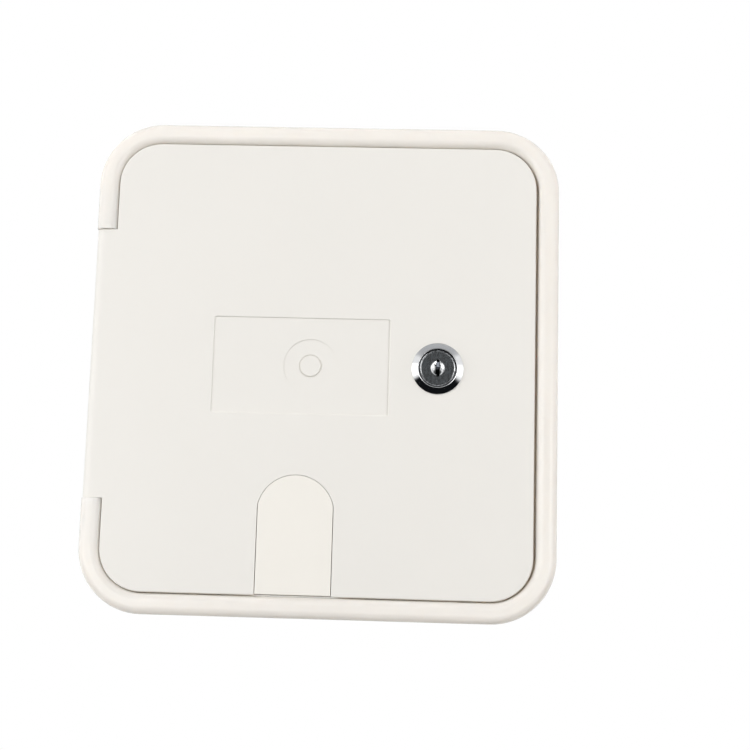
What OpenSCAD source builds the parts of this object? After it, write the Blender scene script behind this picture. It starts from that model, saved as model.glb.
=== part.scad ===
// Power cord hatch for a caravan wall: moulded surround, hinged door with
// a cam lock, and a small swinging cable flap at the door's bottom edge.
// Millimetres. +Z up, +X right, the front faces -Y. The flat back of the
// flange lies on Y = 0, with the origin at its middle, so whatever is
// behind the wall's outer skin has Y > 0.

/* [Surround] */
// Overall width of the flange
flange_w = 200; // [160:1:260]
// Overall height of the flange
flange_h = 211.5; // [170:0.5:280]
// Corner radius of the flange's outline
flange_r = 27.5; // [22:0.5:34]
// Width of the raised rim
rim_w = 8.8; // [8:0.1:12]
// Height of the rim's crown above the wall
rim_h = 13; // [12:0.5:16]
// Rounding on the rim's outer edge
rim_outer_round = 3.6; // [2:0.1:4]
// Rounding on the rim's inner edge
rim_inner_round = 3.2; // [2:0.1:3.4]
// Thickness of the flange plate and the seal ledge
plate_t = 3; // [2.4:0.1:3.2]
// Width of the sealant channel under the rim
channel_w = 3.6; // [2.4:0.1:4]
// Depth of the sealant channel under the rim
channel_d = 10; // [6:0.5:10.5]

/* [Neck through the wall] */
// Width of the clear opening
opening_w = 148.4; // [120:0.1:190]
// Height of the clear opening
opening_h = 160; // [130:0.5:210]
// Corner radius of the clear opening
opening_r = 8; // [4:0.5:14]
// Wall of the neck
neck_t = 2; // [1.6:0.1:2.4]
// How far the neck reaches behind the flange
neck_d = 24; // [18:1:40]
// Room at each side of the flap in the cable well
well_side_gap = 1.5; // [1:0.1:3]
// Height of the drip bead across the well's back edge
bead_h = 1.3; // [0.8:0.1:1.4]

/* [Fixing holes] */
// Radius of the countersunk screw holes
screw_hole_r = 2.1; // [1.8:0.05:2.3]
// Radius of the countersink at the surface
screw_head_r = 4; // [3.4:0.1:4.4]
// Distance between the side holes, across
side_holes_x = 158.8; // [157:0.2:162]
// Distance between the side holes, up and down
side_holes_z = 104; // [60:1:120]
// Distance between the end holes, across
end_holes_x = 100; // [80:1:110]
// Distance between the end holes, up and down
end_holes_z = 171.5; // [169:0.5:174]

/* [Door] */
// Gap between door and rim on the hinge side
gap_left = 0.4; // [0.3:0.1:0.8]
// Gap between door and rim on the lock side
gap_right = 1.1; // [0.6:0.1:1.6]
// Gap between door and rim at the top
gap_top = 0.4; // [0.3:0.1:1]
// Gap between door and rim at the bottom
gap_bottom = 0.5; // [0.4:0.1:1]
// How far the door's face lies below the rim's crown
face_drop = 1; // [0.6:0.1:2]
// Corner radius of the door
door_r = 18; // [12:0.5:20]
// Thickness of the door's panel
panel_t = 3.2; // [3:0.1:3.6]
// Width of the rebate round the back of the panel
rebate_w = 0.6; // [0.5:0.1:1]
// Depth of that rebate
rebate_d = 1.9; // [1.2:0.1:2]
// Rounding on the panel's front edge
edge_round = 0.6; // [0.3:0.1:1]
// How far the skirt stands in from the door's edge
skirt_inset = 2.8; // [2.4:0.1:3]
// Thickness of the skirt
skirt_t = 1.8; // [1.4:0.1:2.2]
// Height of the stiffening ribs behind the panel
rib_d = 2.6; // [1:0.1:3]
// Thickness of the stiffening ribs
rib_t = 1.6; // [1:0.1:2]

/* [Marks on the door] */
// Width of the bare label recess
label_w = 75; // [60:1:90]
// Height of the bare label recess
label_h = 41; // [30:1:60]
// Middle of the label recess, across
label_x = -9; // [-20:0.5:0]
// Corner radius of the label recess
label_r = 0.8; // [0.5:0.1:3]
// Depth of the label recess
label_d = 0.5; // [0.3:0.1:0.8]
// Radius of the round dish in the recess
dish_r = 11.5; // [9:0.5:14]
// Middle of the dish, across
dish_x = -5; // [-10:0.5:0]
// Depth of the dish below the door's face
dish_d = 0.8; // [0.5:0.1:1.2]
// Radius of the round button in the dish
button_r = 4.3; // [3:0.1:5]
// Width of the groove round the button
groove_w = 0.6; // [0.4:0.1:1]
// Depth of that groove below the door's face
groove_d = 1.2; // [1.1:0.1:1.6]

/* [Hinge] */
// Radius of the door's hinge barrel, which is flush with the door's face
barrel_r = 4; // [3.6:0.1:4.4]
// Length of the hinge barrel
barrel_l = 115.8; // [80:0.2:130]
// How far the barrel stays inside the flange's edge
barrel_in = 0.1; // [0:0.05:0.5]
// Gap between the barrel's end and the ear
ear_gap = 0.2; // [0.2:0.1:1]
// How far the barrel has settled onto the lower ear
barrel_drop = 0.1; // [0:0.05:0.1]
// Radius of the steel hinge pins
pin_r = 1.5; // [1.2:0.1:1.8]
// How deep each pin sits in its ear
pin_in_ear = 14; // [8:1:18]
// How deep each pin reaches into the barrel
pin_in_barrel = 15; // [10:1:20]

/* [Cable flap] */
// Width of the flap
flap_w = 31.5; // [26:0.5:40]
// Middle of the flap, across
flap_x = -9.2; // [-20:0.1:5]
// Height of the flap from its bottom edge to the top of the arch
flap_h = 49.5; // [44:0.1:60]
// Radius of the flap's arch
arch_r = 16.2; // [16:0.1:22]
// Gap at each side of the flap
flap_gap = 0.3; // [0.2:0.05:0.6]
// Gap over the flap's arch
flap_gap_top = 0.2; // [0.15:0.05:0.6]
// How far the flap ends above the door's bottom edge
flap_short = 0.5; // [0.2:0.1:0.8]
// Thickness of the flap's front
flap_t = 2.2; // [2:0.1:2.6]
// Width of the flap's stop lip beyond the hole's edge
lip_w = 1.15; // [0.8:0.05:1.4]
// Thickness of the flap's stop lip
lip_t = 1.7; // [1.2:0.1:2.4]
// Radius of the flap's pin
flap_pin_r = 0.9; // [0.7:0.05:1]
// Radius of the flap's knuckle
knuckle_r = 2; // [1.8:0.1:2.2]
// Length of the flap's knuckle
knuckle_l = 18; // [14:0.5:20]
// Thickness of the lugs that hold the flap's pin
lug_t = 3.2; // [2.4:0.1:4]
// How far the flap's axis lies above the top of the arch
flap_axis_rise = 3; // [2.8:0.1:4]

/* [Lock] */
// How far the lock's middle lies in from the door's right edge
lock_inset = 41.1; // [36:0.1:46]
// Radius of the bezel at the door's face
bezel_r = 10.95; // [10.6:0.05:12]
// Radius of the bezel's front edge
bezel_front_r = 8.3; // [8.2:0.05:8.6]
// Height of the bezel above the door's face
bezel_h = 2.5; // [1.5:0.1:4]
// Radius of the lock's threaded body
body_r = 9; // [8.4:0.1:9.5]
// Radius of the plug's head
head_r = 7.7; // [7:0.1:7.8]
// Radius of the plug's shank
shank_r = 6.5; // [5.8:0.1:6.8]
// Width of the keyway
keyway_w = 1.8; // [1.4:0.1:2.2]
// Height of the keyway
keyway_h = 7.4; // [6:0.1:9]
// Width of the lock nut across its flats
nut_af = 22; // [21:0.5:25]
// Thickness of the lock nut
nut_t = 3; // [2:0.1:4]
// Gap between the cam's tip and the neck
cam_tip_gap = 1.2; // [1:0.1:2]
// How far the cam reaches behind the strike
cam_bite = 6.5; // [4:0.1:8]
// Width of the cam at its tip
cam_w = 12; // [10:0.5:13]
// Radius of the cam's hub
cam_hub_r = 7.5; // [6.6:0.1:8]
// Thickness of the cam
cam_t = 2; // [1.5:0.1:3]
// Gap between the cam and the strike when the door is locked
cam_gap = 0.3; // [0.2:0.1:0.8]

/* [Fits] */
// Radial clearance of a turning pin or plug
run_fit = 0.05; // [0.02:0.01:0.09]
// Radial clearance of a pin that stays in its hole
seat_fit = 0.02; // [0.01:0.01:0.05]
// Gap left between the skirt and the seal
seal_gap = 0.1; // [0.05:0.05:0.5]

/* [Hidden] */
$fn = 64;

// the rim's inner edge, which the door fits into
inner_x = flange_w / 2 - rim_w;
inner_z = flange_h / 2 - rim_w;
inner_r = flange_r - rim_w;

// the door's edges, and its face above the wall
door_left = -inner_x + gap_left;
door_right = inner_x - gap_right;
door_top = inner_z - gap_top;
door_bottom = -inner_z + gap_bottom;
door_face = rim_h - face_drop;
door_back = door_face - panel_t;

// hinge
hinge_x = -flange_w / 2 + barrel_in + barrel_r;
hinge_h = door_face - barrel_r;
ear_z = barrel_l / 2 + ear_gap;
barrel_spare = 0.5;

// seal on the ledge, under the skirt
seal_w = 4.8;
seal_in = 2.2;
seal_h = 2.1;
seal_round = 0.8;
skirt_end = plate_t + seal_h + seal_gap;

// flap: its bottom, the middle of its arch and its axis
flap_bottom = door_bottom + flap_short;
flap_top = flap_bottom + flap_h;
arch_z = flap_top - arch_r;
flap_axis_z = flap_top + flap_axis_rise;
flap_axis_h = door_back - knuckle_r - 0.2;
hole_half = flap_w / 2 + flap_gap;
hole_r = arch_r + flap_gap_top;
lip_half = hole_half + lip_w;
lip_front = door_back - 0.1;
lip_back = lip_front - lip_t;
flap_rib_t = 2;
lug_gap = 0.4;
flap_pin_half = knuckle_l / 2 + lug_gap + lug_t - 0.8;

// cable well in the frame, which the flap swings through
well_half = lip_half + well_side_gap;
well_r = 3;
bead_t = 2;

// lock, measured as heights above the wall
lock_x = door_right - lock_inset;
cam_l = opening_w / 2 - cam_tip_gap - lock_x;
bezel_top = door_face + bezel_h;
bore_step_r = 8;
boss_r = 14;
boss_back = door_back - 1.8;
body_end = -2.6;
head_seat = door_face - 0.2;
shoulder = body_end - 0.1;
square_w = 6;
cam_back = shoulder - cam_t;
strike_back = shoulder + cam_gap;
strike_t = 3;
strike_half = 12;
strike_edge = lock_x + cam_l - cam_bite;
dimple_r = 3.3;
cam_screw_r = 2;
cam_screw_head_r = 4;
cam_screw_l = 8;

// Stretches a flat outline from one height above the wall to another.
module layer(from, to) {
  translate([0, -from, 0])
    rotate([90, 0, 0])
      linear_extrude(height = to - from)
        children();
}

// A rounded rectangle about its middle.
module rounded(w, h, r) {
  square([w - 2 * r, h], center = true);
  square([w, h - 2 * r], center = true);
  for (x = [-1, 1], y = [-1, 1])
    translate([x * (w / 2 - r), y * (h / 2 - r)])
      circle(r = r);
}

// A rounded rectangle between four edges.
module rounded_between(left, right, low, high, r) {
  translate([(left + right) / 2, (low + high) / 2])
    rounded(right - left, high - low, r);
}

// Carries a profile round a rounded rectangle. The profile's x runs
// outward from the rectangle, and its y is the height above the wall.
module swept(w, h, r) {
  rotate([90, 0, 0]) {
    for (c = [[1, 1, 0], [-1, 1, 90], [-1, -1, 180], [1, -1, 270]])
      translate([c[0] * (w / 2 - r), c[1] * (h / 2 - r), 0])
        rotate([0, 0, c[2]])
          rotate_extrude(angle = 90)
            translate([r, 0])
              children();
    for (c = [[0, w, h], [90, h, w], [180, w, h], [270, h, w]])
      rotate([0, 0, c[0]])
        translate([c[1] / 2, c[2] / 2 - r, 0])
          rotate([90, 0, 0])
            linear_extrude(height = c[2] - 2 * r)
              children();
  }
}

// The rim's section: a soft D, its outer edge on x = 0.
module rim_section() {
  translate([-rim_w, 0])
    square([rim_w, rim_h - rim_outer_round]);
  translate([-rim_w, 0])
    square([rim_w - rim_outer_round, rim_h - rim_inner_round]);
  translate([-rim_w + rim_inner_round, 0])
    square([rim_w - rim_inner_round - rim_outer_round, rim_h]);
  translate([-rim_outer_round, rim_h - rim_outer_round])
    circle(r = rim_outer_round);
  translate([-rim_w + rim_inner_round, rim_h - rim_inner_round])
    circle(r = rim_inner_round);
}

// The clear way through the frame, grown by a wall: the opening and the
// cable well under the flap.
module way_through(wall) {
  rounded(opening_w + 2 * wall, opening_h + 2 * wall, opening_r + wall);
  rounded_between(flap_x - well_half - wall, flap_x + well_half + wall,
                  -inner_z - wall, -opening_h / 2 + 20, well_r + wall);
}

module screw_hole() {
  layer(-1, plate_t + 1)
    circle(r = screw_hole_r);
  translate([0, -plate_t, 0])
    rotate([-90, 0, 0])
      cylinder(r1 = screw_head_r, r2 = 0, h = screw_head_r);
}

module screw_holes() {
  for (x = [-0.5, 0.5], z = [-0.5, 0.5]) {
    translate([x * side_holes_x, 0, z * side_holes_z])
      screw_hole();
    translate([x * end_holes_x, 0, z * end_holes_z])
      screw_hole();
  }
}

// The bead across the back edge of the cable well, which keeps drips out.
module drip_bead() {
  layer(-neck_d, -neck_d + bead_t)
    translate([flap_x - well_half - 1, -inner_z - 1])
      square([2 * well_half + 2, bead_h + 1]);
}

// The strike that the cam turns behind, and the rib that stops the cam.
module strike() {
  layer(strike_back, strike_back + strike_t)
    translate([strike_edge, -strike_half])
      square([opening_w / 2 + neck_t - strike_edge, 2 * strike_half]);
  layer(strike_back - 6, strike_back + strike_t)
    translate([strike_edge, cam_w / 2 + 1])
      square([opening_w / 2 + neck_t - strike_edge, rib_t]);
}

module frame() {
  color("#F3EFE8")
    difference() {
      union() {
        // the ledge ends inside the rim's own section
        layer(0, plate_t)
          rounded(flange_w - rim_w, flange_h - rim_w, flange_r - rim_w / 2);
        difference() {
          swept(flange_w, flange_h, flange_r)
            rim_section();
          // the rim stops at the two ears, to make room for the barrel
          layer(plate_t, rim_h + 1)
            translate([-flange_w / 2 - 1, -ear_z])
              square([rim_w + 2, 2 * ear_z]);
        }
        layer(-neck_d, plate_t)
          way_through(neck_t);
      }
      layer(-neck_d - 1, plate_t + 1)
        way_through(0);
      difference() {
        swept(flange_w, flange_h, flange_r)
          translate([-(rim_w + channel_w) / 2, -1])
            square([channel_w, channel_d + 1]);
        // the ears and the plate between them stay solid
        layer(-2, rim_h)
          translate([-flange_w / 2 - 1, -ear_z - pin_in_ear - 3])
            square([rim_w + 2, 2 * (ear_z + pin_in_ear + 3)]);
      }
      screw_holes();
      for (end = [-1, 1])
        translate([hinge_x, -hinge_h, end * (ear_z + pin_in_ear / 2)])
          cylinder(r = pin_r + seat_fit, h = pin_in_ear, center = true);
    }
  color("#F3EFE8") {
    strike();
    drip_bead();
  }
}

module door_seal() {
  color("#2B2B2C")
    difference() {
      swept(2 * (inner_x - seal_in), 2 * (inner_z - seal_in),
            inner_r - seal_in)
        translate([-seal_w, plate_t]) {
          square([seal_w, seal_h - seal_round]);
          translate([seal_round, 0])
            square([seal_w - 2 * seal_round, seal_h]);
          for (x = [seal_round, seal_w - seal_round])
            translate([x, seal_h - seal_round])
              circle(r = seal_round);
        }
      // it stops at each side of the cable well
      layer(plate_t - 1, rim_h)
        translate([flap_x - well_half - 0.4, -inner_z - 1])
          square([2 * well_half + 0.8, 20]);
    }
}

module hinge_pin(end) {
  color("#B9BCBE")
    translate([hinge_x, -hinge_h, 0])
      rotate([end > 0 ? 0 : 180, 0, 0])
        translate([0, 0, ear_z - ear_gap - pin_in_barrel])
          cylinder(r = pin_r, h = pin_in_barrel + ear_gap + pin_in_ear);
}

module hinge_pin_upper() {
  hinge_pin(1);
}

module hinge_pin_lower() {
  hinge_pin(-1);
}

// The door's outline, drawn in from its edge by a distance.
module door_outline(inset) {
  rounded_between(door_left + inset, door_right - inset,
                  door_bottom + inset, door_top - inset, door_r - inset);
}

// The flap's arch: straight sides and a round top, down to a bottom.
module arch(half, r, bottom) {
  translate([flap_x, 0])
    intersection() {
      union() {
        translate([0, arch_z])
          circle(r = r);
        translate([-r, bottom])
          square([2 * r, arch_z - bottom]);
      }
      translate([-half, bottom])
        square([2 * half, arch_z - bottom + r]);
    }
}

// Ribs behind the panel: a frame round the lock and long cross ribs.
module panel_ribs() {
  low = door_bottom + skirt_inset + skirt_t / 2;
  high = door_top - skirt_inset - skirt_t / 2;
  left = door_left + skirt_inset + skirt_t / 2;
  right = door_right - skirt_inset - skirt_t / 2;
  layer(door_back - rib_d, door_back) {
    for (z = [-32, 32, 64])
      translate([left, z - rib_t / 2])
        square([right - left, rib_t]);
    for (x = [-60, 20])
      translate([x - rib_t / 2, -32])
        square([rib_t, high + 32]);
    for (x = [flap_x - lip_half - 1.2 - rib_t, flap_x + lip_half + 1.2])
      translate([x, low])
        square([rib_t, -32 - low]);
  }
}

// A rod on the flap's axis.
module flap_axis_rod(r, half) {
  translate([flap_x - half, -flap_axis_h, flap_axis_z])
    rotate([0, 90, 0])
      cylinder(r = r, h = 2 * half);
}

// Two lugs behind the panel that hold the ends of the flap's pin.
module flap_lugs() {
  lug_w = 2 * (flap_pin_r + 1.5);
  for (side = [-1, 1])
    translate([flap_x + side * (knuckle_l / 2 + lug_gap + lug_t / 2), 0, 0]) {
      layer(flap_axis_h, door_back)
        translate([0, flap_axis_z])
          square([lug_t, lug_w], center = true);
      translate([-lug_t / 2, -flap_axis_h, flap_axis_z])
        rotate([0, 90, 0])
          cylinder(r = lug_w / 2, h = lug_t);
    }
}

// The door's flat slab, with a rounded front edge and a rebated back.
module panel_slab() {
  layer(door_back, door_back + rebate_d)
    door_outline(rebate_w);
  layer(door_back + rebate_d, door_face - edge_round)
    door_outline(0);
  layer(door_face - edge_round, door_face)
    door_outline(edge_round);
  translate([(door_left + door_right) / 2, 0, (door_bottom + door_top) / 2])
    swept(door_right - door_left, door_top - door_bottom, door_r)
      intersection() {
        translate([-edge_round, door_face - edge_round])
          circle(r = edge_round);
        translate([-edge_round, door_face - edge_round])
          square([edge_round, edge_round]);
      }
}

module door_panel() {
  color("#EEEAE3")
    difference() {
      union() {
        panel_slab();
        layer(skirt_end, door_back)
          difference() {
            door_outline(skirt_inset);
            door_outline(skirt_inset + skirt_t);
          }
        // hinge barrel, and the panel's own wall running out to it
        translate([hinge_x, 0, -barrel_l / 2 - barrel_drop])
          linear_extrude(height = barrel_l) {
            translate([0, -hinge_h])
              circle(r = barrel_r);
            translate([0, -door_face])
              square([door_left - hinge_x + 2, panel_t]);
          }
        difference() {
          panel_ribs();
          layer(0, door_face)
            translate([lock_x, 0])
              circle(r = boss_r - 1);
        }
        layer(boss_back, door_back)
          translate([lock_x, 0])
            circle(r = boss_r);
        flap_lugs();
      }
      layer(door_face - label_d, door_face + 1)
        rounded_between(label_x - label_w / 2, label_x + label_w / 2,
                        -label_h / 2, label_h / 2, label_r);
      layer(door_face - dish_d, door_face)
        translate([dish_x, 0])
          difference() {
            circle(r = dish_r);
            circle(r = button_r);
          }
      layer(door_face - groove_d, door_face)
        translate([dish_x, 0])
          difference() {
            circle(r = button_r + groove_w);
            circle(r = button_r);
          }
      layer(0, door_face + 1)
        translate([lock_x, 0])
          circle(r = body_r + run_fit);
      layer(0, door_face + 1)
        arch(hole_half, hole_r, door_bottom - 2);
      // the skirt stops at each side of the flap's lip
      layer(0, door_back)
        translate([flap_x - lip_half - 0.5, door_bottom - 1])
          square([2 * lip_half + 1, 12]);
      for (end = [-1, 1])
        translate([hinge_x, -hinge_h, -barrel_drop
                   + end * (barrel_l - pin_in_barrel - barrel_spare) / 2])
          cylinder(r = pin_r + run_fit,
                   h = pin_in_barrel + barrel_spare, center = true);
      flap_axis_rod(flap_pin_r + seat_fit, flap_pin_half);
    }
}

module cable_flap() {
  color("#F1EBDD")
    difference() {
      union() {
        layer(door_face - flap_t, door_face)
          arch(flap_w / 2, arch_r, flap_bottom);
        // a rib round the back, with the lip that stops on the panel
        layer(lip_back, door_face - flap_t)
          difference() {
            arch(flap_w / 2, arch_r, flap_bottom);
            arch(flap_w / 2 - flap_rib_t, arch_r - flap_rib_t,
                 flap_bottom + flap_rib_t);
          }
        layer(lip_back, lip_front)
          difference() {
            arch(lip_half, hole_r + lip_w, flap_bottom);
            arch(flap_w / 2 - flap_rib_t, arch_r - flap_rib_t,
                 flap_bottom + flap_rib_t);
          }
        // the arm up to the knuckle
        layer(flap_axis_h - 1, lip_front)
          translate([flap_x - knuckle_l / 2, flap_top - flap_rib_t - 1])
            square([knuckle_l, flap_axis_rise + flap_rib_t + 1]);
        flap_axis_rod(knuckle_r, knuckle_l / 2);
      }
      flap_axis_rod(flap_pin_r + run_fit, knuckle_l);
    }
}

module flap_pin() {
  color("#B9BCBE")
    flap_axis_rod(flap_pin_r, flap_pin_half);
}

// Turns a section about the lock's axis: x is the radius and y is the
// height above the wall.
module turned() {
  translate([lock_x, 0, 0])
    rotate([90, 0, 0])
      rotate_extrude()
        children();
}

module lock_body() {
  color("#C9CBCC")
    turned()
      polygon([
        [shank_r + run_fit, body_end],
        [body_r, body_end],
        [body_r, door_face],
        [bezel_r, door_face],
        [bezel_r, door_face + 0.3],
        [bezel_front_r, bezel_top],
        [bore_step_r, bezel_top],
        [bore_step_r, head_seat - 0.1],
        [shank_r + run_fit, head_seat - 0.1]
      ]);
}

module lock_nut() {
  color("#B4B6B8")
    layer(boss_back - nut_t, boss_back)
      translate([lock_x, 0])
        difference() {
          circle(d = nut_af / cos(30), $fn = 6);
          circle(r = body_r + seat_fit);
        }
}

module lock_plug() {
  color("#C4C6C8")
    difference() {
      union() {
        turned()
          polygon([
            [0, shoulder],
            [shank_r, shoulder],
            [shank_r, head_seat],
            [head_r, head_seat],
            [head_r, bezel_top - 0.7],
            [head_r - 0.5, bezel_top - 0.2],
            [0, bezel_top - 0.2]
          ]);
        layer(cam_back + 0.1, shoulder + 0.01)
          translate([lock_x, 0])
            square(square_w, center = true);
      }
      // dimple and keyway in the face
      layer(bezel_top - 0.6, bezel_top)
        translate([lock_x, 0])
          circle(r = dimple_r);
      layer(0, bezel_top)
        translate([lock_x, 0])
          square([keyway_w, keyway_h], center = true);
      layer(cam_back - 1, cam_back + cam_screw_l + 1)
        translate([lock_x, 0])
          circle(r = cam_screw_r + seat_fit);
    }
}

module lock_cam() {
  color("#B4B6B8")
    layer(cam_back, shoulder)
      translate([lock_x, 0])
        difference() {
          union() {
            circle(r = cam_hub_r);
            translate([-cam_w / 2, -cam_l])
              square([cam_w, cam_l]);
          }
          square(square_w + 2 * seat_fit, center = true);
        }
}

module cam_screw() {
  color("#B9BCBE")
    turned()
      polygon([
        [0, cam_back - 2.2],
        [cam_screw_head_r - 0.8, cam_back - 2.2],
        [cam_screw_head_r, cam_back - 1.4],
        [cam_screw_head_r, cam_back],
        [cam_screw_r, cam_back],
        [cam_screw_r, cam_back + cam_screw_l],
        [0, cam_back + cam_screw_l]
      ]);
}

frame();
door_seal();
hinge_pin_upper();
hinge_pin_lower();
door_panel();
lock_body();
lock_nut();
lock_plug();
lock_cam();
cam_screw();
cable_flap();
flap_pin();
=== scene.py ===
"""Power cord hatch for a caravan wall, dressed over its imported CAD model.

The file is laid out as an add-on: each piece, or group of like pieces, has
an operator, and a panel in the sidebar lists them. Everything is in metres,
in the CAD model's own frame: +Z up, +X right, and the front faces -Y.
"""

from math import cos, pi, radians, sin

import bmesh
import bpy
from bpy.props import FloatProperty, FloatVectorProperty, PointerProperty
from mathutils import Matrix, Vector


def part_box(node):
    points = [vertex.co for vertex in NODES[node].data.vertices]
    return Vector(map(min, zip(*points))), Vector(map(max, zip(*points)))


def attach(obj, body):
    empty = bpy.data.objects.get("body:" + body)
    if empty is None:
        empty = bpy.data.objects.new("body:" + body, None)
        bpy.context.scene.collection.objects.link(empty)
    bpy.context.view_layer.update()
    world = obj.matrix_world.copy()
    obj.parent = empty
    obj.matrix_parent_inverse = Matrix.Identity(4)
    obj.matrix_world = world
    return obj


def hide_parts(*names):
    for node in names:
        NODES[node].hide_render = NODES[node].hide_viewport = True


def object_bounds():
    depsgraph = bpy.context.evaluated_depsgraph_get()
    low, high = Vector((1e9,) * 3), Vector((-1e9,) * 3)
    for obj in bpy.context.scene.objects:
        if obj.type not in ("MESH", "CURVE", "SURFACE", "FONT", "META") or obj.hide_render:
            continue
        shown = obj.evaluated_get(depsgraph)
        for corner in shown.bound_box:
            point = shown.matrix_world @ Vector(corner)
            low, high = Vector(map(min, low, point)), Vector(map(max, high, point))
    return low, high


bl_info = {
    "name": "Power cord hatch",
    "version": (1, 0, 0),
    "blender": (4, 5, 0),
    "location": "3D View > Sidebar > Hatch",
    "description": "Dresses the moulded hatch, its door, lock and cable flap",
    "category": "Object",
}

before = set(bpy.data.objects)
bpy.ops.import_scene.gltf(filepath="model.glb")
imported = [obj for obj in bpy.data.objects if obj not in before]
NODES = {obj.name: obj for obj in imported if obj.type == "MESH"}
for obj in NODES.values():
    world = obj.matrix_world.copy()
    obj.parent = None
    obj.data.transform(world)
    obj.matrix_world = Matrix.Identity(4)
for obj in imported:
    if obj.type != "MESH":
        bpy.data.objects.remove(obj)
CAD_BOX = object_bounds()
MM = 0.001
JOIN = 0.001 * MM          # vertices this close are one
FLAT = radians(0.5)        # faces this nearly in line are one


def middle(node):
    """The middle of a CAD node's box."""
    low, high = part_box(node)
    return (Vector(low) + Vector(high)) / 2


def linear(code):
    """The linear colour of an sRGB hex value."""
    parts = [int(code[i:i + 2], 16) / 255 for i in (0, 2, 4)]
    return [p / 12.92 if p <= 0.04045 else ((p + 0.055) / 1.055) ** 2.4
            for p in parts]


def colour(name, about, code):
    """A colour setting."""
    return FloatVectorProperty(name=name, description=about, subtype="COLOR",
                               size=3, min=0, max=1, default=linear(code))


def length(name, about, mm):
    """A length setting, from millimetres."""
    return FloatProperty(name=name, description=about, default=mm * MM,
                         subtype="DISTANCE", unit="LENGTH")


class HatchSettings(bpy.types.PropertyGroup):
    """Sizes and colours that a user would change"""

    surround_colour: colour(
        "Surround", "Gloss plastic of the surround", "F1EDE7")
    door_colour: colour(
        "Door", "Textured plastic of the door", "EFECE6")
    flap_colour: colour(
        "Flap", "Slightly yellower plastic of the cable flap", "F5F1E9")
    chrome_colour: colour(
        "Chrome", "Plated lock body and plug", "E4E5E6")
    zinc_colour: colour(
        "Zinc", "Zinc-plated nut, cam and screw", "B9BDC2")
    pin_colour: colour(
        "Pins", "Drawn stainless pins", "C3C1BC")
    rubber_colour: colour(
        "Seal", "Rubber seal under the door", "242425")
    backdrop_colour: colour(
        "Backdrop", "Floor and backdrop", "FFFFFF")
    edge_soft: length(
        "Soft edges", "Rounding on the mouldings' edges", 0.22)
    camera_place: FloatVectorProperty(
        name="Camera", description="Where the camera stands",
        subtype="XYZ", unit="LENGTH", default=(0.0389, -0.5129, -0.0721))
    camera_aim: FloatVectorProperty(
        name="Aim", description="The point that the camera looks at",
        subtype="XYZ", unit="LENGTH", default=(0.0226, -0.012, -0.0033))
    camera_roll: FloatProperty(
        name="Roll", description="Turn of the camera about its own axis",
        subtype="ANGLE", unit="ROTATION", default=radians(1.587))
    camera_lens: FloatProperty(
        name="Lens", description="Focal length on a 36 mm sensor",
        subtype="DISTANCE_CAMERA", default=57.36)


# ---------------------------------------------------------------- materials

ABS_IOR = 1.53
RUBBER_IOR = 1.5


def add_node(tree, kind, inputs=None, **settings):
    """Adds a node; its inputs are values, or sockets to link from."""
    node = tree.nodes.new(kind)
    for name, value in settings.items():
        setattr(node, name, value)
    for name, value in (inputs or {}).items():
        if isinstance(value, bpy.types.NodeSocket):
            tree.links.new(value, node.inputs[name])
        else:
            node.inputs[name].default_value = value
    return node


def start_material(name):
    """An empty material and its tree, shader and object coordinates."""
    material = bpy.data.materials.new(name)
    material.use_nodes = True
    tree = material.node_tree
    shader = tree.nodes["Principled BSDF"]
    place = add_node(tree, "ShaderNodeTexCoord").outputs["Object"]
    return material, tree, shader, place


def seen_directly(tree):
    """Whether a ray comes from the camera, a reflection or clear glass."""
    path = add_node(tree, "ShaderNodeLightPath")
    seen = path.outputs["Is Camera Ray"]
    for kind in ("Is Glossy Ray", "Is Transmission Ray"):
        seen = add_node(tree, "ShaderNodeMath",
                        {0: seen, 1: path.outputs[kind]},
                        operation="MAXIMUM").outputs[0]
    return seen


def tint(value, factor):
    """A colour made lighter or darker, with its alpha."""
    return [min(1, part * factor) for part in value] + [1]


def moulded_gloss_abs(name, value):
    """ABS from a polished mould: a soft gloss with a faint orange peel."""
    material, tree, shader, place = start_material(name)
    # broad, very faint mottling, as thick and thin walls cool
    mottle = add_node(tree, "ShaderNodeTexNoise",
                      {"Vector": place, "Scale": 1 / (38 * MM),
                       "Detail": 2, "Roughness": 0.5})
    shade = add_node(tree, "ShaderNodeMix",
                     {"Factor": mottle.outputs["Fac"],
                      "A": tint(value, 0.975), "B": tint(value, 1.02)},
                     data_type="RGBA")
    tree.links.new(shade.outputs["Result"], shader.inputs["Base Color"])
    # handling dulls the gloss in patches
    rub = add_node(tree, "ShaderNodeTexNoise",
                   {"Vector": place, "Scale": 1 / (11 * MM), "Detail": 4})
    gloss = add_node(tree, "ShaderNodeMapRange",
                     {"Value": rub.outputs["Fac"], "From Min": 0.3,
                      "From Max": 0.7, "To Min": 0.16, "To Max": 0.25})
    tree.links.new(gloss.outputs["Result"], shader.inputs["Roughness"])
    # orange peel, 1.3 mm from crest to crest
    peel = add_node(tree, "ShaderNodeTexNoise",
                    {"Vector": place, "Scale": 1 / (1.3 * MM), "Detail": 1})
    bump = add_node(tree, "ShaderNodeBump",
                    {"Height": peel.outputs["Fac"], "Strength": 0.25,
                     "Distance": 0.02 * MM})
    tree.links.new(bump.outputs["Normal"], shader.inputs["Normal"])
    shader.inputs["IOR"].default_value = ABS_IOR
    # light spreads inside pale ABS, so its narrow gaps glow warm and brown
    shader.subsurface_method = "BURLEY"
    shader.inputs["Subsurface Weight"].default_value = 0.8
    shader.inputs["Subsurface Radius"].default_value = (1, 0.87, 0.74)
    shader.inputs["Subsurface Scale"].default_value = 7 * MM
    return material


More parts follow.
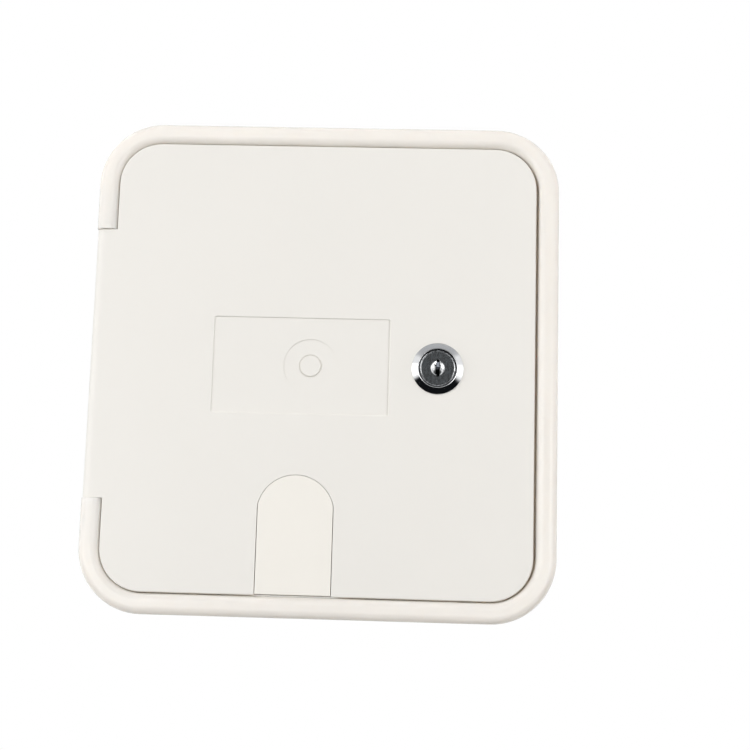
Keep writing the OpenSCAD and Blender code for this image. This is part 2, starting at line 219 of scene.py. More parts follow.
def textured_abs(name, value):
    """ABS from a spark-eroded mould: a satin face with a fine, even grain."""
    material, tree, shader, place = start_material(name)
    mottle = add_node(tree, "ShaderNodeTexNoise",
                      {"Vector": place, "Scale": 1 / (45 * MM),
                       "Detail": 3, "Roughness": 0.55})
    # the grain is 0.15 mm in the mould, drawn at 0.4 mm so that it shows
    grain = add_node(tree, "ShaderNodeTexNoise",
                     {"Vector": place, "Scale": 1 / (0.4 * MM),
                      "Detail": 2, "Roughness": 0.6})
    blend = add_node(tree, "ShaderNodeMix",
                     {"Factor": mottle.outputs["Fac"],
                      "A": tint(value, 0.975), "B": tint(value, 1.02)},
                     data_type="RGBA")
    speck = add_node(tree, "ShaderNodeMix",
                     {"Factor": grain.outputs["Fac"],
                      "A": blend.outputs["Result"], "B": tint(value, 0.985)},
                     data_type="RGBA")
    tree.links.new(speck.outputs["Result"], shader.inputs["Base Color"])
    gloss = add_node(tree, "ShaderNodeMapRange",
                     {"Value": grain.outputs["Fac"], "From Min": 0.3,
                      "From Max": 0.7, "To Min": 0.4, "To Max": 0.52})
    tree.links.new(gloss.outputs["Result"], shader.inputs["Roughness"])
    bump = add_node(tree, "ShaderNodeBump",
                    {"Height": grain.outputs["Fac"], "Strength": 0.4,
                     "Distance": 0.02 * MM})
    tree.links.new(bump.outputs["Normal"], shader.inputs["Normal"])
    shader.inputs["IOR"].default_value = ABS_IOR
    return material


def plated_chrome(name, value):
    """Chrome over polished zinc casting: a dark mirror with hairlines."""
    material, tree, shader, place = start_material(name)
    haze = add_node(tree, "ShaderNodeTexNoise",
                    {"Vector": place, "Scale": 1 / (2.2 * MM), "Detail": 5,
                     "Roughness": 0.65})
    gloss = add_node(tree, "ShaderNodeMapRange",
                     {"Value": haze.outputs["Fac"], "From Min": 0.35,
                      "From Max": 0.75, "To Min": 0.05, "To Max": 0.13})
    tree.links.new(gloss.outputs["Result"], shader.inputs["Roughness"])
    stain = add_node(tree, "ShaderNodeMix",
                     {"Factor": haze.outputs["Fac"], "A": tint(value, 1.03),
                      "B": tint(value, 0.9)}, data_type="RGBA")
    tree.links.new(stain.outputs["Result"], shader.inputs["Base Color"])
    ripple = add_node(tree, "ShaderNodeTexNoise",
                      {"Vector": place, "Scale": 1 / (1.1 * MM), "Detail": 1})
    bump = add_node(tree, "ShaderNodeBump",
                    {"Height": ripple.outputs["Fac"], "Strength": 0.2,
                     "Distance": 0.01 * MM})
    tree.links.new(bump.outputs["Normal"], shader.inputs["Normal"])
    shader.inputs["Metallic"].default_value = 1
    return material


def worn_chrome_keyway_shade(name, value, mouth, tail):
    """Chrome scratched by long use, with painted shade inside the keyway.

    Painted shade: everything on the plug between two depths, the mouth and
    the tail of the plug, is painted near-black, matt and not metallic.
    """
    material, tree, shader, place = start_material(name)
    # upright strokes, drawn 0.5 mm wide so that they show
    run = add_node(tree, "ShaderNodeMapping",
                   {"Vector": place, "Scale": (1, 1, 0.16)})
    stroke = add_node(tree, "ShaderNodeTexNoise",
                      {"Vector": run.outputs["Vector"],
                       "Scale": 1 / (0.5 * MM), "Detail": 4,
                       "Roughness": 0.7})
    cloud = add_node(tree, "ShaderNodeTexNoise",
                     {"Vector": place, "Scale": 1 / (1.3 * MM), "Detail": 5,
                      "Roughness": 0.7})
    wear = add_node(tree, "ShaderNodeMath",
                    {0: stroke.outputs["Fac"], 1: cloud.outputs["Fac"]},
                    operation="MULTIPLY")
    spread = add_node(tree, "ShaderNodeMapRange",
                      {"Value": wear.outputs[0], "From Min": 0.17,
                       "From Max": 0.34})
    plate = add_node(tree, "ShaderNodeMix",
                     {"Factor": spread.outputs["Result"],
                      "A": tint(value, 0.34), "B": tint(value, 1.25)},
                     data_type="RGBA")
    # painted shade: deeper than the keyway's mouth and short of the tail, the plug is
    # painted near-black, matt and not metallic
    depth = add_node(tree, "ShaderNodeSeparateXYZ", {0: place}).outputs["Y"]
    inside = add_node(tree, "ShaderNodeMapRange",
                      {"Value": depth, "From Min": mouth - 0.3 * MM,
                       "From Max": mouth + 0.4 * MM})
    ahead = add_node(tree, "ShaderNodeMapRange",
                     {"Value": depth, "From Min": tail,
                      "From Max": tail + 0.3 * MM, "To Min": 1, "To Max": 0})
    keyway_shade = add_node(tree, "ShaderNodeMath",
                      {0: inside.outputs["Result"],
                       1: ahead.outputs["Result"]}, operation="MULTIPLY")
    shade = add_node(tree, "ShaderNodeMix",
                     {"Factor": keyway_shade.outputs[0],
                      "A": plate.outputs["Result"],
                      "B": tint(value, 0.02)}, data_type="RGBA")
    tree.links.new(shade.outputs["Result"], shader.inputs["Base Color"])
    gloss = add_node(tree, "ShaderNodeMix",
                     {0: keyway_shade.outputs[0],
                      2: add_node(tree, "ShaderNodeMapRange", {
                          "Value": wear.outputs[0], "From Min": 0.17,
                          "From Max": 0.34, "To Min": 0.2,
                          "To Max": 0.08}).outputs["Result"],
                      3: 0.6})
    tree.links.new(gloss.outputs[0], shader.inputs["Roughness"])
    bare = add_node(tree, "ShaderNodeMath",
                    {0: 1.0, 1: keyway_shade.outputs[0]}, operation="SUBTRACT")
    tree.links.new(bare.outputs[0], shader.inputs["Metallic"])
    bump = add_node(tree, "ShaderNodeBump",
                    {"Height": stroke.outputs["Fac"], "Strength": 0.35,
                     "Distance": 0.01 * MM})
    tree.links.new(bump.outputs["Normal"], shader.inputs["Normal"])
    return material


def zinc_plated_steel(name, value):
    """Pressed steel, zinc plated: soft grey with a cloudy blue cast."""
    material, tree, shader, place = start_material(name)
    cloud = add_node(tree, "ShaderNodeTexNoise",
                     {"Vector": place, "Scale": 1 / (3.5 * MM), "Detail": 4,
                      "Roughness": 0.6, "Distortion": 0.6})
    cast = add_node(tree, "ShaderNodeMix",
                    {"Factor": cloud.outputs["Fac"], "A": tint(value, 1.08),
                     "B": [value[0] * 0.86, value[1] * 0.88, value[2], 1]},
                    data_type="RGBA")
    tree.links.new(cast.outputs["Result"], shader.inputs["Base Color"])
    gloss = add_node(tree, "ShaderNodeMapRange",
                     {"Value": cloud.outputs["Fac"], "From Min": 0.3,
                      "From Max": 0.7, "To Min": 0.29, "To Max": 0.42})
    tree.links.new(gloss.outputs["Result"], shader.inputs["Roughness"])
    pits = add_node(tree, "ShaderNodeTexNoise",
                    {"Vector": place, "Scale": 1 / (0.3 * MM), "Detail": 2})
    bump = add_node(tree, "ShaderNodeBump",
                    {"Height": pits.outputs["Fac"], "Strength": 0.3,
                     "Distance": 0.01 * MM})
    tree.links.new(bump.outputs["Normal"], shader.inputs["Normal"])
    shader.inputs["Metallic"].default_value = 1
    return material


def drawn_stainless(name, value, along):
    """Stainless rod as drawn: fine streaks that run along the pin."""
    material, tree, shader, place = start_material(name)
    squeeze = [1, 1, 1]
    squeeze["XYZ".index(along)] = 0.04
    run = add_node(tree, "ShaderNodeMapping",
                   {"Vector": place, "Scale": squeeze})
    streak = add_node(tree, "ShaderNodeTexNoise",
                      {"Vector": run.outputs["Vector"],
                       "Scale": 1 / (0.25 * MM), "Detail": 3})
    shade = add_node(tree, "ShaderNodeMix",
                     {"Factor": streak.outputs["Fac"], "A": tint(value, 0.92),
                      "B": tint(value, 1.06)}, data_type="RGBA")
    tree.links.new(shade.outputs["Result"], shader.inputs["Base Color"])
    gloss = add_node(tree, "ShaderNodeMapRange",
                     {"Value": streak.outputs["Fac"], "To Min": 0.14,
                      "To Max": 0.26})
    tree.links.new(gloss.outputs["Result"], shader.inputs["Roughness"])
    shader.inputs["Metallic"].default_value = 1
    return material


def extruded_rubber(name, value):
    """Extruded rubber: matt black with a greyish bloom along the run."""
    material, tree, shader, place = start_material(name)
    bloom = add_node(tree, "ShaderNodeTexNoise",
                     {"Vector": place, "Scale": 1 / (7 * MM), "Detail": 5,
                      "Roughness": 0.65})
    shade = add_node(tree, "ShaderNodeMix",
                     {"Factor": bloom.outputs["Fac"], "A": tint(value, 0.8),
                      "B": tint(value, 1.7)}, data_type="RGBA")
    tree.links.new(shade.outputs["Result"], shader.inputs["Base Color"])
    pores = add_node(tree, "ShaderNodeTexNoise",
                     {"Vector": place, "Scale": 1 / (0.35 * MM), "Detail": 2})
    gloss = add_node(tree, "ShaderNodeMapRange",
                     {"Value": pores.outputs["Fac"], "To Min": 0.6,
                      "To Max": 0.82})
    tree.links.new(gloss.outputs["Result"], shader.inputs["Roughness"])
    bump = add_node(tree, "ShaderNodeBump",
                    {"Height": pores.outputs["Fac"], "Strength": 0.5,
                     "Distance": 0.03 * MM})
    tree.links.new(bump.outputs["Normal"], shader.inputs["Normal"])
    shader.inputs["IOR"].default_value = RUBBER_IOR
    return material


def finish(make, name, *values):
    """The material of a finish, made once."""
    return bpy.data.materials.get(name) or make(name, *values)


# ------------------------------------------------------------------- shapes

def merged_copy(node):
    """A CAD node's shape, its loose triangles joined into clean faces."""
    bm = bmesh.new()
    bm.from_mesh(NODES[node].data)
    bmesh.ops.remove_doubles(bm, verts=bm.verts, dist=JOIN)
    bmesh.ops.dissolve_limit(bm, angle_limit=FLAT, verts=bm.verts,
                             edges=bm.edges)
    return bm


def soften(bm, width, least=35):
    """Rounds every edge that is sharper than an angle in degrees."""
    sharp = [e for e in bm.edges
             if e.is_manifold and e.calc_face_angle(0) > radians(least)]
    bmesh.ops.bevel(bm, geom=sharp, offset=width, offset_type="OFFSET",
                    segments=2, profile=0.5, affect="EDGES",
                    clamp_overlap=True, material=-1)


def verts_of(geom):
    """The vertices among some geometry."""
    return [g for g in geom if isinstance(g, bmesh.types.BMVert)]


def edges_of(geom):
    """The edges among some geometry."""
    return [g for g in geom if isinstance(g, bmesh.types.BMEdge)]


def block(at, size):
    """A box from its middle and its size."""
    bm = bmesh.new()
    bmesh.ops.create_cube(bm, size=1, matrix=Matrix.Translation(at)
                          @ Matrix.Diagonal((*size, 1)))
    return bm


def turned(profile, axis, steps=72):
    """A closed solid turned about an axis that runs out of the wall.

    The profile is a list of (radius, height above the wall), in millimetres.
    """
    bm = bmesh.new()
    verts = [bm.verts.new((axis.x + r * MM, -h * MM, axis.z))
             for r, h in profile]
    pairs = list(zip(verts, verts[1:]))
    if profile[0][0] or profile[-1][0]:
        pairs.append((verts[-1], verts[0]))
    edges = [bm.edges.new(pair) for pair in pairs]
    bmesh.ops.spin(bm, geom=verts + edges, cent=axis, axis=(0, 1, 0),
                   angle=2 * pi, steps=steps, use_merge=True)
    bmesh.ops.remove_doubles(bm, verts=bm.verts, dist=JOIN)
    bmesh.ops.recalc_face_normals(bm, faces=bm.faces)
    return bm


def prism(outline, axis, low, high):
    """A solid pushed out of the wall from an outline about an axis.

    The outline is a list of (across, up), and low and high are heights
    above the wall, all in millimetres.
    """
    bm = bmesh.new()
    face = bm.faces.new([bm.verts.new((axis.x + x * MM, -low * MM,
                                       axis.z + z * MM)) for x, z in outline])
    made = bmesh.ops.extrude_face_region(bm, geom=[face])["geom"]
    bmesh.ops.translate(bm, vec=(0, -(high - low) * MM, 0),
                        verts=verts_of(made))
    bmesh.ops.recalc_face_normals(bm, faces=bm.faces)
    return bm


def new_object(name, bm):
    """Turns a shape into an object of the scene."""
    mesh = bpy.data.meshes.new(name)
    bm.to_mesh(mesh)
    bm.free()
    made = bpy.data.objects.new(name, mesh)
    bpy.context.scene.collection.objects.link(made)
    return made


def slanted(part):
    """How far along a slant a vertex, an edge or a face lies."""
    corners = getattr(part, "verts", [part])
    return sum(v.co.dot((0.737, 0.519, 0.431)) for v in corners)


def combine(bm, tool, operation):
    """Joins two closed shapes, cuts one away, or keeps what they share."""
    things = [new_object("working", part) for part in (bm, tool)]
    step = things[0].modifiers.new("combine", "BOOLEAN")
    step.object, step.operation, step.solver = things[1], operation, "EXACT"
    seen = things[0].evaluated_get(bpy.context.evaluated_depsgraph_get())
    result = bmesh.new()
    result.from_mesh(seen.to_mesh())
    for thing in things:
        mesh = thing.data
        bpy.data.objects.remove(thing)
        bpy.data.meshes.remove(mesh)
    # the solver's order differs from run to run, so it is put in one order
    for row in (result.verts, result.edges, result.faces):
        row.sort(key=slanted)
        row.index_update()
    bmesh.ops.remove_doubles(result, verts=result.verts, dist=JOIN)
    bmesh.ops.dissolve_limit(result, angle_limit=FLAT, verts=result.verts,
                             edges=result.edges)
    return result


def add_piece(name, bm, material, body, slot, *nodes):
    """Turns a shape into a finished piece that stands for its CAD nodes."""
    for face in bm.faces:
        face.smooth = True
    piece = new_object(name, bm)
    piece.data.materials.append(material)
    piece.modifiers.new("even shading", "WEIGHTED_NORMAL")
    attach(piece, body)
    if nodes:
        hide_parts(*nodes)
    return piece


# ---------------------------------------------------------------- operators

ROOM_LIGHT = 0.445    # the world's soft light from all sides
BOUNCE = 0.6          # how much of the light the paper gives back
DROP = 0.25           # from the hatch down to the floor, in metres

# broad soft lamps that gloss doesn't show: place, side and power
LAMPS = {
    "upper left lamp": ((-1.47, -1.63, 0.98), 1, 14.5),
    "upper right lamp": ((0.5, -1.1, 0.8), 0.6, 6.2),
    "left lamp": ((-1.1, -0.55, 0), 0.5, 3.07),
    "right lamp": ((1.15, -0.3, 0.1), 0.5, 1.6),
    "rear lamp": ((0.2, 1.6, 0.3), 1, 7),
}

# cards that only reflections see: place, the way they face away, width and
# height, colour and strength
CARDS = {
    # soft boxes to the left and right: bright lines along the rim and the
    # hinge, and the white parts of the lock's bezel
    "left box": ((-0.65, -1.06, -0.09), (-0.5, -0.87, 0), (0.84, 0.76),
                 "FFFFFF", 3.2),
    "right box": ((0.6, -1.08, -0.09), (0.42, -0.9, 0), (0.84, 0.76),
                  "FFFFFF", 3.6),
    "far left box": ((-1.15, -0.2, 0.08), (-1, 0, 0), (0.6, 0.8),
                     "FFFFFF", 3.2),
    "far right box": ((1.15, -0.3, 0.08), (1, 0, 0), (0.6, 0.8),
                      "FFFFFF", 1.9),
    # what polished metal sees in front of it, below it and above it
    "front card": ((0.06, -1.05, 0.14), (0, -1, 0), (0.62, 0.62),
                   "4B4E50", 1),
    "low card": ((0, -0.3, -0.33), (0, 0, -1), (2.4, 1.3), "141517", 1),
    "high card": ((0.02, -0.1, 0.7), (0, 0, 1), (2.0, 1.6), "BDBEC0", 1),
    "raised card": ((0.045, -0.55, 0.56), (0, -0.66, 0.75), (2.4, 0.7),
                    "4B4E50", 1),
}


class HATCH_OT_stage(bpy.types.Operator):
    """Make the camera, the floor, the world and the lamps"""
    bl_idname = "hatch.stage"
    bl_label = "Stage"

    def execute(self, context):
        scene, settings = context.scene, context.scene.hatch
        scene.view_settings.view_transform = "Standard"

        lens = bpy.data.cameras.new("camera")
        lens.lens, lens.sensor_width = settings.camera_lens, 36
        lens.clip_start = 0.01
        camera = bpy.data.objects.new("camera", lens)
        scene.collection.objects.link(camera)
        place, aim = settings.camera_place, settings.camera_aim
        look = (Vector(aim) - Vector(place)).to_track_quat("-Z", "Y")
        camera.matrix_world = (Matrix.Translation(place)
                               @ look.to_matrix().to_4x4()
                               @ Matrix.Rotation(settings.camera_roll, 4, "Z"))
        scene.camera = camera

        world = bpy.data.worlds.new("studio")
        world.use_nodes = True
        tree = world.node_tree
        tree.nodes.clear()
        white = [*settings.backdrop_colour, 1]
        soft = add_node(tree, "ShaderNodeBackground",
                        {"Color": [1, 1, 1, 1], "Strength": ROOM_LIGHT})
        clean = add_node(tree, "ShaderNodeBackground",
                         {"Color": white, "Strength": 1})
        mix = add_node(tree, "ShaderNodeMixShader",
                       {0: seen_directly(tree), 1: soft.outputs[0],
                        2: clean.outputs[0]})
        add_node(tree, "ShaderNodeOutputWorld", {"Surface": mix.outputs[0]})
        scene.world = world

        bm = bmesh.new()
        bmesh.ops.create_grid(bm, x_segments=1, y_segments=1, size=2)
        bmesh.ops.translate(bm, verts=bm.verts,
                            vec=(0, 0, CAD_BOX[0].z - DROP))
        floor = new_object("floor", bm)
        floor.data.materials.append(self.paper(white))

        for name, (place, size, power) in LAMPS.items():
            lamp = bpy.data.lights.new(name, "AREA")
            lamp.shape, lamp.energy, lamp.size = "SQUARE", power, size
            light = bpy.data.objects.new(name, lamp)
            light.location = place
            light.rotation_euler = (-light.location).to_track_quat(
                "-Z", "Y").to_euler()
            light.visible_glossy = False
            scene.collection.objects.link(light)

        for name, values in CARDS.items():
            self.card(name, *values)
        return {"FINISHED"}

    @staticmethod
    def paper(white):
        """Background paper: seen as its plain colour, and a dim bounce."""
        material = bpy.data.materials.new("background paper")
        material.use_nodes = True
        tree = material.node_tree
        tree.nodes.clear()
        matt = add_node(tree, "ShaderNodeBsdfDiffuse",
                        {"Color": tint(white[:3], BOUNCE)})
        clean = add_node(tree, "ShaderNodeEmission",
                         {"Color": white, "Strength": 1})
        mix = add_node(tree, "ShaderNodeMixShader",
                       {0: seen_directly(tree), 1: matt.outputs[0],
                        2: clean.outputs[0]})
        add_node(tree, "ShaderNodeOutputMaterial", {"Surface": mix.outputs[0]})
        return material

    @staticmethod
    def card(name, at, away, size, code, strength):
        """A soft-edged studio card that only reflections see."""
        bm = bmesh.new()
        bm.loops.layers.uv.new("card")
        bmesh.ops.create_grid(bm, x_segments=1, y_segments=1, size=0.5,
                              calc_uvs=True)
        bmesh.ops.scale(bm, vec=(*size, 1), verts=bm.verts)
        bm.transform(Matrix.Translation(at)
                     @ Vector(away).to_track_quat("Z", "Y").to_matrix()
                     .to_4x4())
        card = new_object(name, bm)
        material = bpy.data.materials.new(name)
        material.use_nodes = True
        tree = material.node_tree
        tree.nodes.clear()
        across = add_node(tree, "ShaderNodeMapping",
                          {"Vector": add_node(tree, "ShaderNodeTexCoord")
                           .outputs["UV"],
                           "Location": (-1, -1, 0), "Scale": (2, 2, 0)})
        fall = add_node(tree, "ShaderNodeTexGradient",
                        {"Vector": across.outputs["Vector"]},
                        gradient_type="SPHERICAL")
        edge = add_node(tree, "ShaderNodeMapRange",
                        {"Value": fall.outputs["Fac"], "From Max": 0.45},
                        interpolation_type="SMOOTHSTEP")
        clear = add_node(tree, "ShaderNodeBsdfTransparent")
        plain = add_node(tree, "ShaderNodeEmission",
                         {"Color": [*linear(code), 1], "Strength": strength})
        mix = add_node(tree, "ShaderNodeMixShader",
                       {0: edge.outputs["Result"], 1: clear.outputs[0],
                        2: plain.outputs[0]})
        add_node(tree, "ShaderNodeOutputMaterial", {"Surface": mix.outputs[0]})
        card.data.materials.append(material)
        for way in ("camera", "diffuse", "transmission", "volume_scatter",
                    "shadow"):
            setattr(card, "visible_" + way, False)


class HATCH_OT_surround(bpy.types.Operator):
    """Make the moulded surround from the CAD frame, with soft edges"""
    bl_idname = "hatch.surround"
    bl_label = "Surround"

    def execute(self, context):
        settings = context.scene.hatch
        bm = merged_copy("frame")
        soften(bm, settings.edge_soft)
        add_piece("surround", bm,
                  finish(moulded_gloss_abs, "gloss moulded ABS",
                         settings.surround_colour),
                  "frame", "frame_white", "frame")
        return {"FINISHED"}


class HATCH_OT_door(bpy.types.Operator):
    """Make the door's moulding from the CAD panel, with soft edges"""
    bl_idname = "hatch.door"
    bl_label = "Door"

    def execute(self, context):
        settings = context.scene.hatch
        bm = merged_copy("door_panel")
        # the label's recess has the softest edges on the door's face
        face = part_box("door_panel")[0][1]
        left, right, reach = self.RECESS
        pressed = [e for e in bm.edges if e.calc_face_angle(0) > 1
                   and all(abs(v.co.y - face) < 0.01 * MM
                           and left * MM < v.co.x < right * MM
                           and abs(v.co.z) < reach * MM for v in e.verts)]
        bmesh.ops.bevel(bm, geom=pressed, offset=self.PRESSED * MM,
                        segments=4, profile=0.5, affect="EDGES",
                        clamp_overlap=True, material=-1)
        soften(bm, settings.edge_soft)
        bm = combine(bm, self.tool_marks(), "DIFFERENCE")
        add_piece("door", bm,
                  finish(textured_abs, "spark-eroded ABS",
                         settings.door_colour),
                  "door", "door_white", "door_panel")
        return {"FINISHED"}

    # in millimetres, from the middle of the hatch: the label's recess lies
    # within these, across and up, and its edges have this rounding
    RECESS = (-50, 30, 22)
    PRESSED = 0.42
    # the line on the recess's right: its place, and its width, depth, height
    LINE_AT = (28.1, -11.5, 0)
    LINE = (0.36, 0.6, 40.4)
    # where the ejector pins pressed the door out of its mould, across and
    # up, and the height of the door's back above the wall
    MARKS = [(-42, 79), (2, 79), (56, 79), (-66, 48), (-42, 48), (2, 48),
             (56, 48), (-66, 0), (-42, 0), (2, 0), (66, -24), (24, -24),
             (-62, -60), (30, -60), (62, -60)]
    BACK = 8.8

    def tool_marks(self):
        """The marks of the ejector pins, and a fine line in the recess.

        The line is where the mould's insert for the recess ends.
        """
        bm = block([c * MM for c in self.LINE_AT],
                   [c * MM for c in self.LINE])
        for x, z in self.MARKS:
            bmesh.ops.create_cone(
                bm, cap_ends=True, segments=32, radius1=3.6 * MM,
                radius2=2.6 * MM, depth=1 * MM, matrix=Matrix.Translation(
                    (x * MM, -(self.BACK - 0.1) * MM, z * MM))
                @ Matrix.Rotation(pi / 2, 4, "X"))
        return bm


class HATCH_OT_flap(bpy.types.Operator):
    """Make the cable flap from the CAD flap, with soft edges"""
    bl_idname = "hatch.flap"
    bl_label = "Cable flap"

    def execute(self, context):
        settings = context.scene.hatch
        bm = merged_copy("cable_flap")
        soften(bm, settings.edge_soft)
        bm = combine(bm, self.draught_lip(), "UNION")
        add_piece("flap", bm,
                  finish(textured_abs, "flap ABS", settings.flap_colour),
                  "cable_flap", "flap_cream", "cable_flap")
        return {"FINISHED"}

    def draught_lip(self):
        """The lip under the flap, which nearly closes the gap below it.

        It is 1.1 mm thick, 0.5 mm short of the flap at either side, and
        hangs 0.6 mm below it.
        """
        low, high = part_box("cable_flap")
        bm = block(((low[0] + high[0]) / 2, -7.85 * MM, low[2] - 0.15 * MM),
                   (high[0] - low[0] - 1 * MM, 1.1 * MM, 0.9 * MM))
        soften(bm, 0.15 * MM)
        return bm


class HATCH_OT_lock_front(bpy.types.Operator):
    """Make the plated lock body and its plug, which show on the door"""
    bl_idname = "hatch.lock_front"
    bl_label = "Lock body and plug"

    def execute(self, context):
        chrome = finish(plated_chrome, "chrome plate",
                        context.scene.hatch.chrome_colour)
        axis = middle("lock_body")
        body = turned(self.BODY, axis, 96)
        soften(body, 0.12 * MM, 20)
        add_piece("lock_barrel", body, chrome, "door", "lock_chrome",
                  "lock_body")
        add_piece("lock_thread", self.thread(axis, 8.98, -2.2, 8.4), chrome,
                  "door", "lock_chrome")

        plug = turned(self.PLUG, axis, 96)
        tang = prism([(-3, -3), (3, -3), (3, 3), (-3, 3)], axis, -4.6, 0)
        plug = combine(plug, tang, "UNION")
        plug = combine(plug, prism(self.KEYWAY, axis, 3.9, 16), "DIFFERENCE")
        soften(plug, 0.1 * MM)
        add_piece("lock_core", plug,
                  finish(worn_chrome_keyway_shade, "worn chrome plate",
                         context.scene.hatch.chrome_colour,
                         -12.7 * MM, -2 * MM),
                  "lock_plug", "lock_chrome", "lock_plug")
        self.wafers(axis)
        return {"FINISHED"}

    # half sections, as (radius, height above the wall) in millimetres: the
    # bezel is a cone with its bore inside a narrow crest, and the plug has a
    # dimple round the keyway
    BODY = [(6.55, -2.6), (8.6, -2.6), (8.6, 8.7), (9, 8.9), (9, 12),
            (10.95, 12), (10.95, 12.35), (8.4, 14.45), (8.1, 14.45),
            (7.95, 11.7), (6.55, 11.7)]
    PLUG = [(0, -2.7), (6.5, -2.7), (6.5, 11.8), (7.7, 11.8), (7.7, 13.65),
            (6.95, 14.3), (3.35, 14.3), (0, 12.7)]
    # the keyway's outline, across and up: a wide foot and two narrower ends
    KEYWAY = [(-0.45, -3.65), (0.8, -3.65), (0.8, -2.7), (1.0, -2.7),
              (1.0, 0.9), (0.75, 0.9), (0.75, 3.55), (-0.55, 3.55),
              (-0.55, 0.9), (-1.0, 0.9), (-1.0, -2.7), (-0.45, -2.7)]

    @staticmethod
    def thread(axis, crest, low, high, pitch=1.0, steps=48):
        """One continuous ridge wound round the lock body."""
        bm = bmesh.new()
        root = crest - 0.5
        ring = [bm.verts.new((axis.x + r * MM, -(low + h) * MM, axis.z))
                for r, h in ((root, -0.42), (crest, -0.06), (crest, 0.06),
                             (root, 0.42))]
        edges = [bm.edges.new((ring[i], ring[i - 1])) for i in range(4)]
        turns = int((high - low) / pitch)
        last = bmesh.ops.spin(bm, geom=ring + edges, cent=axis,
                              axis=(0, 1, 0), angle=2 * pi * turns,
                              dvec=(0, -pitch * MM / steps, 0),
                              steps=steps * turns)["geom_last"]
        bmesh.ops.holes_fill(bm, edges=edges, sides=4)
        bmesh.ops.holes_fill(bm, sides=4, edges=edges_of(last))
        bmesh.ops.recalc_face_normals(bm, faces=bm.faces)
        return bm

    @staticmethod
    def wafers(axis):
        """Wafer tumblers that cross the upper part of the keyway."""
        bm = bmesh.new()
        for row in range(5):
            bmesh.ops.create_cube(bm, size=1, matrix=Matrix.Translation(
                (axis.x + 0.1 * MM, -(12.4 - 2 * row) * MM,
                 axis.z + (1.75 + 0.2 * (row % 2)) * MM))
                @ Matrix.Diagonal((1.7 * MM, 0.8 * MM, 2.0 * MM, 1)))
        soften(bm, 0.08 * MM)
        add_piece("lock_wafers", bm,
                  finish(zinc_plated_steel, "zinc plated steel",
                         bpy.context.scene.hatch.zinc_colour),
                  "lock_plug", "lock_steel")


class HATCH_OT_lock_back(bpy.types.Operator):
    """Make the nut, the cam and its screw, which show behind the door"""
    bl_idname = "hatch.lock_back"
    bl_label = "Nut, cam and screw"

    def execute(self, context):
        zinc = finish(zinc_plated_steel, "zinc plated steel",
                      context.scene.hatch.zinc_colour)
        axis = middle("lock_body")
        corner = self.NUT_HALF / cos(radians(30))
        nut = prism([(corner * cos(radians(a)), corner * sin(radians(a)))
                     for a in range(0, 360, 60)], axis, 4, 7)
        nut = combine(nut, turned(self.NUT_BLANK, axis), "INTERSECT")
        soften(nut, 0.15 * MM, 25)
        add_piece("lock_ring_nut", nut, zinc, "door", "lock_steel",
                  "lock_nut")

        cam = merged_copy("lock_cam")
        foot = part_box("lock_cam")[0][2]
        tip = [e for e in cam.edges
               if all(abs(v.co.z - foot) < 0.01 * MM for v in e.verts)
               and abs(e.verts[0].co.y - e.verts[1].co.y) > 1 * MM]
        bmesh.ops.bevel(cam, geom=tip, offset=3 * MM, segments=6,
                        profile=0.5, affect="EDGES", material=-1)
        soften(cam, 0.25 * MM)
        add_piece("cam_plate", cam, zinc, "lock_plug", "lock_steel",
                  "lock_cam")

        screw = turned(self.SCREW, axis, 48)
        for arm in ((2.1, 0.42), (0.42, 2.1)):
            cross = prism([(-arm[0], -arm[1]), (arm[0], -arm[1]),
                           (arm[0], arm[1]), (-arm[0], arm[1])],
                          axis, -8, -5.5)
            screw = combine(screw, cross, "DIFFERENCE")
        soften(screw, 0.1 * MM)
        add_piece("cam_bolt", screw, zinc, "lock_plug", "lock_steel",
                  "cam_screw")
        return {"FINISHED"}

    # in millimetres: half the nut across its flats, its half section with
    # the corners turned down to a chamfer, and the screw's half section
    NUT_HALF = 11
    NUT_BLANK = [(9.02, 4), (11, 4), (13.2, 5), (13.2, 6), (11, 7),
                 (9.02, 7)]
    SCREW = [(0, -6.9), (1.6, -6.85), (2.9, -6.55), (3.7, -5.9), (4, -5.1),
             (4, -4.7), (2, -4.7), (2, 3.2), (0, 3.3)]


class HATCH_OT_pins(bpy.types.Operator):
    """Give the pins of the hinge and the flap their drawn finish"""
    bl_idname = "hatch.pins"
    bl_label = "Pins"

    def execute(self, context):
        settings = context.scene.hatch
        upright = finish(drawn_stainless, "stainless rod upright",
                         settings.pin_colour, "Z")
        across = finish(drawn_stainless, "stainless rod across",
                        settings.pin_colour, "X")
        for node, material in (("hinge_pin_upper", upright),
                               ("hinge_pin_lower", upright),
                               ("flap_pin", across)):
            NODES[node].material_slots[0].material = material
        return {"FINISHED"}


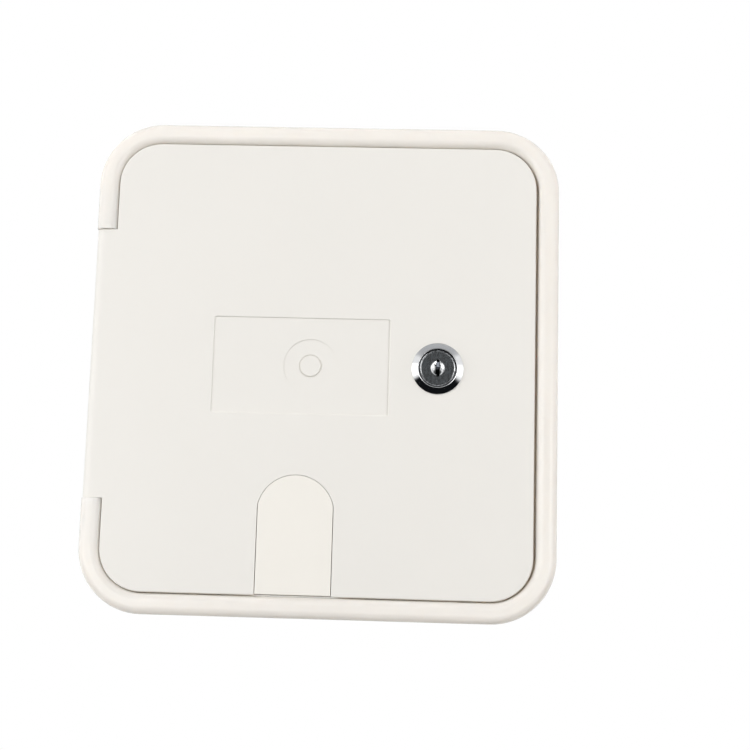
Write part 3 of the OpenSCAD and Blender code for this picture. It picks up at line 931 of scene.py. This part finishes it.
class HATCH_OT_seal(bpy.types.Operator):
    """Make the seal under the door, an extrusion with two soft lips"""
    bl_idname = "hatch.seal"
    bl_label = "Seal"

    # in millimetres: the outer half of the section, as (distance from its
    # edge, height above the ledge), its whole width, and the corners' reach
    LIP = [(0, 0.2), (0, 0.75), (0.25, 1), (0.7, 1.15), (0.65, 1.55),
           (0.35, 1.88), (0.42, 2.06), (0.72, 2.06), (1.2, 1.7),
           (1.45, 1.25), (1.8, 0.98)]
    WIDTH = 4.8
    CORNER = 16.5

    def execute(self, context):
        low, high = (Vector(c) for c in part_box("door_seal"))
        ledge = -high.y / MM
        outline = ([(0.2, 0)] + self.LIP
                   + [(self.WIDTH - x, h) for x, h in reversed(self.LIP)]
                   + [(self.WIDTH - 0.2, 0)])
        # it runs round from one side of the cable well to the other
        foot = [v.co.x for v in NODES["door_seal"].data.vertices
                if v.co.z < low.z + 1 * MM]
        well = middle("cable_flap").x
        start = min(x for x in foot if x > well)
        stop = max(x for x in foot if x < well)
        bm = bmesh.new()
        verts = [bm.verts.new((start, -(ledge + h) * MM, low.z + x * MM))
                 for x, h in outline]
        first = [bm.edges.new((verts[i], verts[i - 1]))
                 for i in range(len(verts))]
        loop = verts + first
        reach = self.CORNER * MM
        for x, z, way in ((high.x - reach, low.z + reach, (1, 0, 0)),
                          (high.x - reach, high.z - reach, (0, 0, 1)),
                          (low.x + reach, high.z - reach, (-1, 0, 0)),
                          (low.x + reach, low.z + reach, (0, 0, -1))):
            here = verts_of(loop)[0].co
            run = Vector(way) * abs((Vector((x, here.y, z)) - here)
                                    .dot(Vector(way)))
            loop = bmesh.ops.extrude_edge_only(
                bm, edges=edges_of(loop))["geom"]
            loop = verts_of(loop) + edges_of(loop)
            bmesh.ops.translate(bm, vec=run, verts=verts_of(loop))
            loop = bmesh.ops.spin(
                bm, geom=loop, cent=(x, 0, z), axis=(0, -1, 0),
                angle=pi / 2, steps=14)["geom_last"]
        last = bmesh.ops.extrude_edge_only(bm, edges=edges_of(loop))["geom"]
        bmesh.ops.translate(bm, verts=verts_of(last), vec=(
            stop - verts_of(last)[0].co.x, 0, 0))
        for end in (first, edges_of(last)):
            bmesh.ops.contextual_create(bm, geom=end)
        bmesh.ops.recalc_face_normals(bm, faces=bm.faces)
        add_piece("seal_strip", bm,
                  finish(extruded_rubber, "extruded rubber",
                         context.scene.hatch.rubber_colour),
                  "frame", "seal_rubber", "door_seal")
        return {"FINISHED"}


class HATCH_PT_panel(bpy.types.Panel):
    """Lists the hatch's operators and settings"""
    bl_idname = "HATCH_PT_panel"
    bl_label = "Power cord hatch"
    bl_space_type = "VIEW_3D"
    bl_region_type = "UI"
    bl_category = "Hatch"

    def draw(self, context):
        for step in STEPS:
            self.layout.operator(step.bl_idname)
        for name in HatchSettings.__annotations__:
            self.layout.prop(context.scene.hatch, name)


STEPS = (HATCH_OT_stage, HATCH_OT_surround, HATCH_OT_door, HATCH_OT_flap,
         HATCH_OT_lock_front, HATCH_OT_lock_back, HATCH_OT_pins,
         HATCH_OT_seal)
CLASSES = (HatchSettings, *STEPS, HATCH_PT_panel)


def register():
    """Adds the hatch's classes and its settings."""
    for kind in CLASSES:
        bpy.utils.register_class(kind)
    bpy.types.Scene.hatch = PointerProperty(type=HatchSettings)


def unregister():
    """Takes the hatch's settings and classes away."""
    del bpy.types.Scene.hatch
    for kind in reversed(CLASSES):
        bpy.utils.unregister_class(kind)


def main():
    """Makes the hatch step by step."""
    register()
    for step in STEPS:
        group, name = step.bl_idname.split(".")
        getattr(getattr(bpy.ops, group), name)()


if __name__ == "__main__":
    main()
